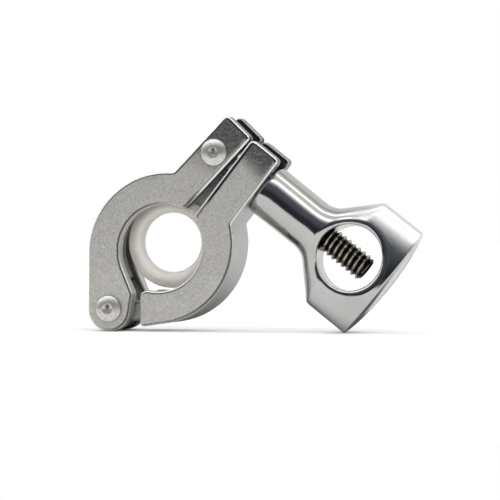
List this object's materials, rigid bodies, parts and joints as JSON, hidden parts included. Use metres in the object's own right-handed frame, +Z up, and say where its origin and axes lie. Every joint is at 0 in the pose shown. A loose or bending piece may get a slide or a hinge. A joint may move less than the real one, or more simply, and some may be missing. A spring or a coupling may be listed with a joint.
{
  "type": "sanitary clamp",
  "caption": "Single-pin sanitary clamp for small hygienic ferrules: two cast half rings, swing bolt and windowed wing nut, closed on a loose moulded gasket",
  "frame": {"origin": "on the ground, at the middle of the bounding box in X and Y", "axes": "+X from the hinge to the wing nut, +Y away from the viewer along the pipe axis, +Z up"},
  "size_m": [0.087, 0.0196, 0.0557],
  "materials": {
    "cast_steel": "satin",
    "rivet_steel": "polished",
    "bolt_steel": "satin",
    "polished_steel": "polished",
    "gasket_rubber": "matte"
  },
  "bodies": {
    "fixed_half": {"left_half": "cast_steel", "hinge_rivet": "rivet_steel", "bolt_rivet": "rivet_steel"},
    "moving_half": {"right_half": "cast_steel", "gasket": "gasket_rubber"},
    "bolt": {"swing_bolt": "bolt_steel"},
    "nut": {"wing_nut": "polished_steel"}
  },
  "joints": [
    {"name": "clamp_hinge", "type": "hinge", "parent": "fixed_half", "child": "moving_half", "pos_m": [-0.03776, 0, 0.0057], "axis": [0, 1, 0], "range_deg": [0, 18]},
    {"name": "bolt_swing", "type": "hinge", "parent": "fixed_half", "child": "bolt", "pos_m": [-0.00931, 0, 0.04635], "axis": [0, -1, 0], "range_deg": [0, 105]},
    {"name": "nut_travel", "type": "slide", "parent": "bolt", "child": "nut", "axis": [0.7859, 0, -0.6184], "range_m": [0, 0.028]}
  ],
  "couplings": [
    {"joint": "bolt_swing", "follows": "clamp_hinge", "ratio": 5.83},
    {"joint": "nut_travel", "follows": "clamp_hinge", "m_per_rad": 0.0891}
  ]
}
